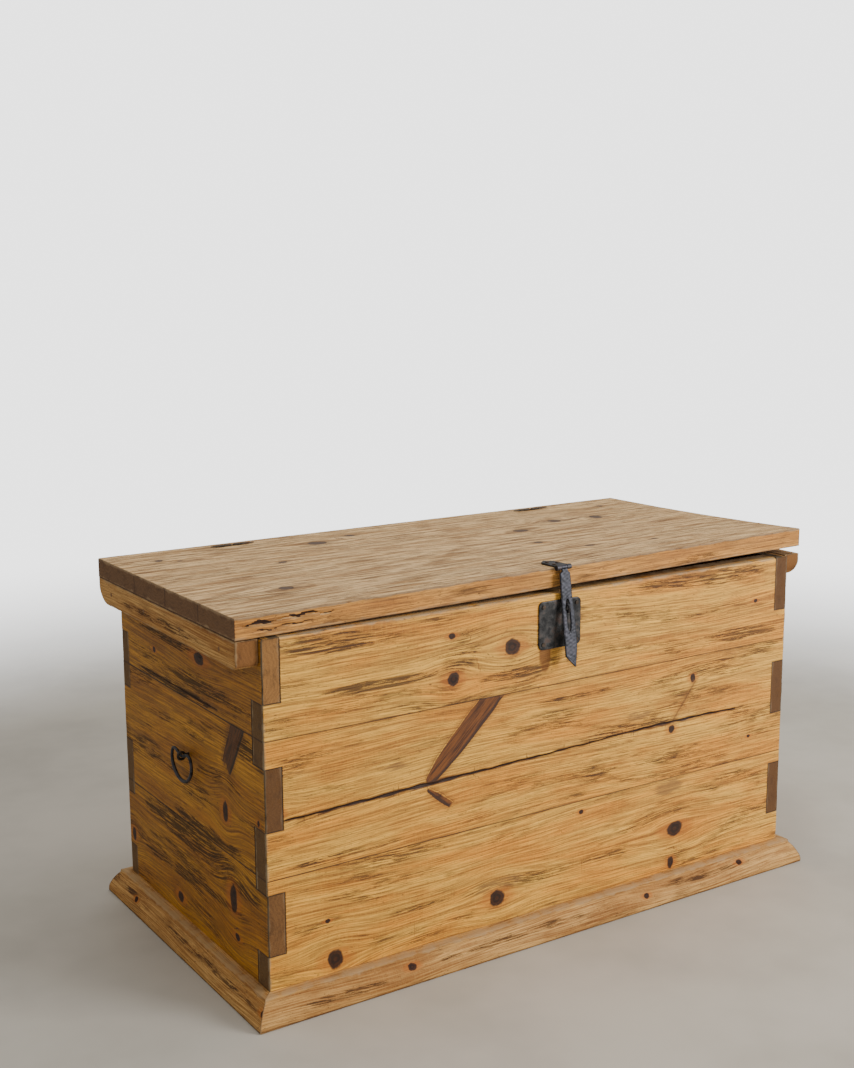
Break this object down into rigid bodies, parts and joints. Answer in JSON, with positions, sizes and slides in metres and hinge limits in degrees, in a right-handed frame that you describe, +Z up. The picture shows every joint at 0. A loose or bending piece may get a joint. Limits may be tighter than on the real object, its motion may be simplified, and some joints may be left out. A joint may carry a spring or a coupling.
{
  "type": "wooden chest",
  "caption": "Low pine storage chest with finger-jointed corners, a hinged plank lid, a moulded base, a forged hasp and a bail handle on each end.",
  "frame": {"origin": "on the floor, under the middle of the body", "axes": "+X along the chest to the right, -Y to the front, +Z up"},
  "size_m": [1.154, 0.612, 0.639],
  "materials": {
    "body_pine": "waxed old pine",
    "lid_pine": "faded, worn old pine",
    "moulding_pine": "waxed old pine",
    "inside_pine": "bare sawn pine",
    "dowel_wood": "bare wood",
    "forged_iron": "black forged iron",
    "strap_iron": "hammered blue-black iron",
    "nail_iron": "dark, lightly rusted iron"
  },
  "bodies": {
    "chest_body": {"front_board_upper": "body_pine", "front_board_middle": "body_pine", "front_board_lower": "body_pine", "back_board_upper": "body_pine", "back_board_middle": "body_pine", "back_board_lower": "body_pine", "left_board_upper": "body_pine", "left_board_middle": "body_pine", "left_board_lower": "body_pine", "right_board_upper": "body_pine", "right_board_middle": "body_pine", "right_board_lower": "body_pine", "front_dowels": "dowel_wood", "back_dowels": "dowel_wood", "left_dowels": "dowel_wood", "right_dowels": "dowel_wood", "base_moulding_front": "moulding_pine", "base_moulding_back": "moulding_pine", "base_moulding_left": "moulding_pine", "base_moulding_right": "moulding_pine", "base_moulding_nails": "nail_iron", "floor_bearer_left": "inside_pine", "floor_bearer_centre": "inside_pine", "floor_bearer_right": "inside_pine", "floor_board_1": "inside_pine", "floor_board_2": "inside_pine", "floor_board_3": "inside_pine", "floor_board_4": "inside_pine", "floor_nails": "nail_iron", "end_cleat_left": "moulding_pine", "end_cleat_right": "moulding_pine", "cleat_nails": "nail_iron", "hinge_pin_body_left": "forged_iron", "hinge_pin_body_right": "forged_iron", "handle_eye_left": "forged_iron", "handle_eye_right": "forged_iron", "staple_plate": "forged_iron", "plate_nails": "nail_iron", "staple": "forged_iron"},
    "lid": {"lid_plank_1": "lid_pine", "lid_plank_2": "lid_pine", "lid_plank_3": "lid_pine", "lid_plank_4": "lid_pine", "lid_dowels": "dowel_wood", "hinge_pin_lid_left": "forged_iron", "hinge_pin_lid_right": "forged_iron", "hasp_leaf": "forged_iron", "hasp_leaf_nails": "nail_iron", "hasp_pin": "forged_iron"},
    "hasp": {"hasp_strap": "strap_iron"},
    "left_bail": {"handle_left": "forged_iron"},
    "right_bail": {"handle_right": "forged_iron"}
  },
  "joints": [
    {"name": "lid_hinge", "type": "hinge", "parent": "chest_body", "child": "lid", "pos_m": [0, 0.2835, 0.592], "axis": [-1, 0, 0], "range_deg": [0, 110]},
    {"name": "hasp_swing", "type": "hinge", "parent": "lid", "child": "hasp", "pos_m": [0.016, -0.27, 0.63292], "axis": [-1, 0, 0], "range_deg": [-4, 178]},
    {"name": "left_bail_swing", "type": "hinge", "parent": "chest_body", "child": "left_bail", "pos_m": [-0.553, -0.002, 0.342], "axis": [0, 1, 0], "range_deg": [-8, 180]},
    {"name": "right_bail_swing", "type": "hinge", "parent": "chest_body", "child": "right_bail", "pos_m": [0.553, -0.002, 0.342], "axis": [0, -1, 0], "range_deg": [-8, 180]}
  ]
}
